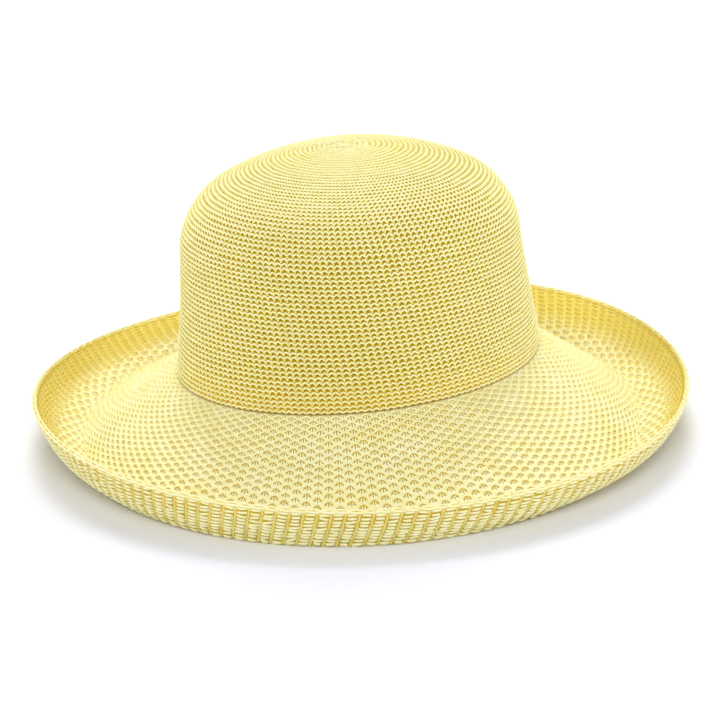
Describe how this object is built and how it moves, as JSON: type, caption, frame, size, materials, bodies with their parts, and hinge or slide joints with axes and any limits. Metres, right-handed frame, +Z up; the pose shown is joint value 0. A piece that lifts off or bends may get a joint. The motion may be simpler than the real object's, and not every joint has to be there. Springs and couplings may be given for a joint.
{
  "type": "breton hat",
  "caption": "Knitted cotton hat with a tall oval crown, a wide sloping brim and a lip rolled up all round, finished with a cast-off edge.",
  "frame": {"origin": "on the surface that the hat rests on, below the middle of the round rim", "axes": "+Z up through the crown, Y along the long way of the head with the front at -Y, X across the head"},
  "size_m": [0.3572, 0.3572, 0.1579],
  "materials": {
    "crown_knit": "matt purl knit of pale yellow cotton yarn",
    "brim_knit": "matt open tuck knit of pale yellow cotton yarn",
    "edge_knit": "matt cast-off edge of pale yellow cotton yarn"
  },
  "bodies": {
    "root": {"crown": "crown_knit", "brim": "brim_knit", "rim_edge": "edge_knit"}
  },
  "joints": []
}
